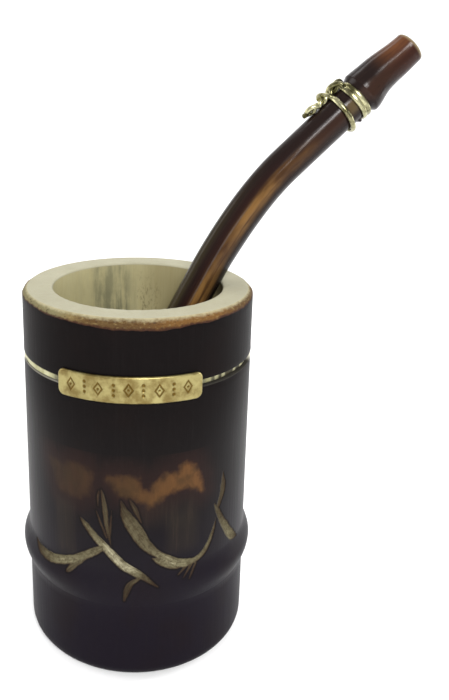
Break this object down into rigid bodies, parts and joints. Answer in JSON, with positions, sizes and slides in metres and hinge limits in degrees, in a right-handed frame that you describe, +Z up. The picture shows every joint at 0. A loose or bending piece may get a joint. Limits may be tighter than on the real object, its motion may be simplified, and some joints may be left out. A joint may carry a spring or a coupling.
{
  "type": "bamboo mate cup with cane straw",
  "caption": "Scorched bamboo mate cup with a carved waist, a brass band and plate, and a bent cane drinking straw bound with brass wire that rests in it.",
  "frame": {"origin": "centre of the circle on which the cup's foot stands", "axes": "+Z up along the cup's axis, -Y towards the plate, +X the side over which the straw leans"},
  "size_m": [0.1211, 0.0746, 0.1892],
  "materials": {
    "bamboo": "dark lacquer over bamboo, pale bare rim and inside",
    "band_brass": "satin",
    "plate_brass": "satin, worn",
    "cane": "polished, dark brown with reddish streaks",
    "wire_brass": "polished"
  },
  "bodies": {
    "root": {"cup": "bamboo", "band": "band_brass", "plate": "plate_brass", "straw": "cane", "wire": "wire_brass"}
  },
  "joints": []
}
